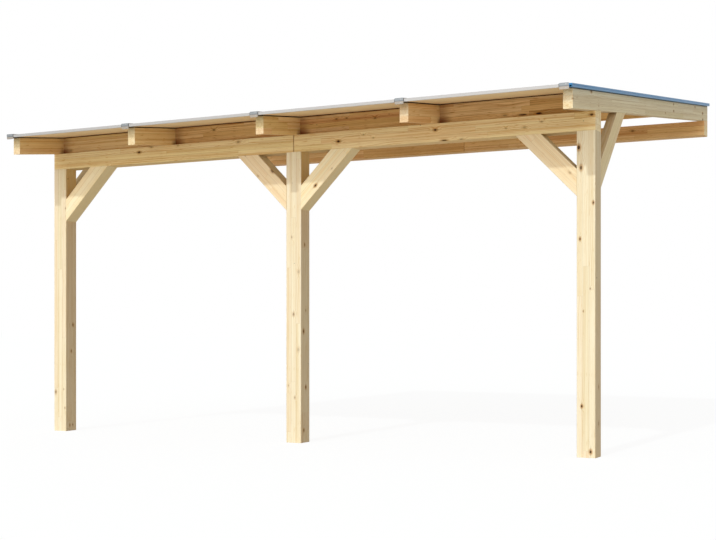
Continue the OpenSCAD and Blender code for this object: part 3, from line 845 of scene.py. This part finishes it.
# %% A run of one section
def run_of_section(name, stations, sections, material=BED_RUBBER):
    """A closed run: one section of corner points at each station, joined by faces and shut at both ends."""
    mesh = bpy.data.meshes.new(name)
    corners, faces = [], []
    for start, end in stations:
        for section_start, section_end in sections(start, end):
            first = len(corners)
            count = len(section_start)
            corners += section_start + section_end
            for k in range(count):
                after = (k + 1) % count
                faces.append((first + k, first + count + k, first + count + after, first + after))
            faces.append(tuple(range(first, first + count)))
            faces.append(tuple(range(first + 2 * count - 1, first + count - 1, -1)))
    mesh.from_pydata(corners, [], faces)
    shape = bmesh.new()
    shape.from_mesh(mesh)
    bmesh.ops.recalc_face_normals(shape, faces=shape.faces)
    shape.to_mesh(mesh)
    shape.free()
    mesh.materials.append(material)
    piece = new_object(name, mesh)
    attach(piece, "root")
    return piece


def on_inner_edges(start, end, gap, outline):
    """An outline beside each bar edge that has a sheet next to it, at two places up the slope."""
    for i, x in enumerate(RAFTER_X):
        for side in (-1, 1):
            if 0 <= i + side < len(RAFTER_X):
                edge = x + side * (RAFTER_W / 2 + gap)
                points = [(edge + side * out, level) for out, level in outline]
                yield tuple([roof_place(out, at, level) for out, level in points] for at in (start, end))


# %% Lips along the bars
CHANNEL_TOP = SHEET_TOP + 0.0015
CHANNEL_END = ROOF_FRONT + 0.022
LIP_WIDTH = 0.003
TOE_HEIGHT = 0.0008
LIP_TOP_WIDTH = 0.0012


def lip_sections(start, end):
    """The lip: flat below, with a toe outside. It stands on the channel first, and on the sheet behind it."""
    foot = CHANNEL_TOP if start < CHANNEL_END else SHEET_TOP
    toe = [(0, foot), (LIP_WIDTH, foot), (LIP_WIDTH, foot + TOE_HEIGHT)]
    return on_inner_edges(start, end, 0, [*toe, (LIP_TOP_WIDTH, BAR_TOP), (0, BAR_TOP)])


lip_stations = [(ROOF_FRONT, CHANNEL_END), (CHANNEL_END, ROOF_BACK)]
bar_lips = run_of_section("bar_rubber_lips", lip_stations, lip_sections)
print("lips:", len(bar_lips.data.polygons), "faces")

# %% Plugs in the ends of the front channels
PLUG_WIDTH = 0.0025
PLUG_LOW = 0.1245
PLUG_GAP = 0.0004
PLUG_FACES = (ROOF_FRONT - 0.0025, ROOF_FRONT - 0.0015)


def plug_sections(start, end):
    """One plug each side of every cap that has a channel beside it."""
    outline = [(0, PLUG_LOW), (PLUG_WIDTH, PLUG_LOW), (PLUG_WIDTH, CHANNEL_TOP), (0, CHANNEL_TOP)]
    return on_inner_edges(start, end, PLUG_GAP, outline)


# The plugs' dark rubber stands for the shaded gap between cap and channel, as painted shade
plugs = run_of_section("channel_end_plugs_and_gap_shade", [PLUG_FACES], plug_sections)
print("plugs:", len(plugs.data.polygons), "faces")

# %% [markdown]
# ## Boards at mid-span
# Long rafters twist as they dry, so a second row of short boards stands between them, half-way between
# the two beams and square to the roof. Each is as deep as the rafters. They are runs of one section
# too: a rectangle with its four long edges planed off, from the side of one rafter to the next.

# %% Mid-span boards
RAFTER_H = 0.120
BOARD_THICKNESS = 0.040
BOARD_ARRIS = 0.003
END_GAP = 0.0002
MID_SPAN = -EAVE.y / 2 / math.cos(PITCH)


def board_ends(start, end, sides):
    """The section, between two places up the slope, at each of the board's two ends."""
    a = BOARD_ARRIS
    low_side = [(start, RAFTER_H - a), (start, a), (start + a, 0), (end - a, 0)]
    high_side = [(end, a), (end, RAFTER_H - a), (end - a, RAFTER_H), (start + a, RAFTER_H)]
    return tuple([roof_place(x, at, level) for at, level in low_side + high_side] for x in sides)


faces_at = (MID_SPAN - BOARD_THICKNESS / 2, MID_SPAN + BOARD_THICKNESS / 2)
for i in range(4):
    name = f"mid_blocking_{i + 1}"
    sides = (RAFTER_X[i] + RAFTER_W / 2 + END_GAP, RAFTER_X[i + 1] - RAFTER_W / 2 - END_GAP)
    corner = roof_place(sides[0], faces_at[0], 0)
    wood = glulam(name, corner, ALONG_WALL, UP_SLOPE, 81 + i, AMBER, THIN_LAMELLA)
    run_of_section(name, [faces_at], lambda start, end: [board_ends(start, end, sides)], wood)
print("mid-span boards", round(sides[1] - sides[0], 3), "m long")

# %% [markdown]
# ## Floor, light and camera
# The floor is a plain pale plane. The camera sees it as white, with a share of real shading so that
# the cover keeps its shadow, and everything else sees it as pale sand, which throws the warm light
# under the roof. The sun stands in front of the cover, 38 degrees high, with a broad soft lamp under
# it for the bright haze of the open terrace, and the sky is a soft, slightly cool grey.

# %% Floor
SEEN_RAYS = ("Is Camera Ray", "Is Glossy Ray", "Is Transmission Ray")


def rays_that_show(tree):
    """1 for rays that the camera sees, straight or by gloss and glass, and 0 for those that only light."""
    path = add(tree, "LightPath").outputs
    camera_ray, glossy_ray, glass_ray = (path[ray] for ray in SEEN_RAYS)
    direct = add(tree, "Math MAXIMUM", {0: camera_ray, 1: glossy_ray})
    return add(tree, "Math MAXIMUM", {0: direct, 1: glass_ray})


def pale_floor():
    material, tree = new_material("pale_floor")
    sand = add(tree, "BsdfDiffuse", {"Color": "#F0E6D4"})
    white = add(tree, "BsdfDiffuse", {"Color": "#FFFFFF"})
    glow = add(tree, "Emission", {"Color": "#FFFFFF", "Strength": 1.03})
    shown = add(tree, "MixShader", {0: 0.12, 1: glow, 2: white})
    both = add(tree, "MixShader", {0: rays_that_show(tree), 1: sand, 2: shown})
    add(tree, "OutputMaterial", {"Surface": both})
    return material


FLOOR_HALF = 60.0
FLOOR_GAP = 0.001
floor_mesh = bpy.data.meshes.new("floor")
signs = ((-1, -1), (1, -1), (1, 1), (-1, 1))
corners = [(x * FLOOR_HALF, y * FLOOR_HALF, GROUND - FLOOR_GAP) for x, y in signs]
floor_mesh.from_pydata(corners, [], [(0, 1, 2, 3)])
floor_mesh.materials.append(pale_floor())
floor = new_object("floor", floor_mesh)
print("floor at", round(GROUND, 3))

# %% Sky and sun
world = bpy.data.worlds.new("sky")
bpy.context.scene.world = world
world.use_nodes = True
sky = world.node_tree
sky.nodes.clear()
light = add(sky, "Background", {"Color": (1.0, 1.04, 0.99, 1), "Strength": 0.46})
white = add(sky, "Background", {"Color": "#FFFFFF"})
mixed = add(sky, "MixShader", {0: rays_that_show(sky), 1: light, 2: white})
add(sky, "OutputWorld", {"Surface": mixed})


def sun_lamp(name, height, turn, strength, angle, color):
    """A sun lamp that shines to the wall from height degrees above the ground, turned by turn degrees."""
    lamp_data = bpy.data.lights.new(name, "SUN")
    lamp_data.energy = strength
    lamp_data.angle = math.radians(angle)
    lamp_data.color = color
    lamp = new_object(name, lamp_data)
    height, turn = math.radians(height), math.radians(turn)
    travel = Vector((math.sin(turn) * math.cos(height), math.cos(turn) * math.cos(height), -math.sin(height)))
    lamp.rotation_euler = travel.to_track_quat("-Z", "Y").to_euler()
    print(name, "travels along", tuple(round(c, 2) for c in travel))


sun_lamp("sun", 37.9, 1.0, 1.10, 1.4, (0.88, 0.98, 1.0))
sun_lamp("bright_haze_in_front", 12.0, 0.0, 1.35, 70.0, (1.0, 0.96, 0.98))

# %% Camera
SENSOR = 36.0
FOCAL = 62.95
SHIFT = 0.0747
TURN = 0.4839
STAND = (4.4765, -10.728)
EYE_HEIGHT = 0.8353
camera_data = bpy.data.cameras.new("camera")
camera_data.sensor_width = SENSOR
camera_data.lens = FOCAL
camera_data.shift_y = SHIFT
camera_data.clip_end = 200
camera = new_object("camera", camera_data)
camera.location = (*STAND, GROUND + EYE_HEIGHT)
camera.rotation_euler = (math.pi / 2, 0, TURN)
bpy.context.scene.camera = camera
bpy.context.scene.view_settings.view_transform = "Standard"
print("camera", round(EYE_HEIGHT, 2), "m above the ground")
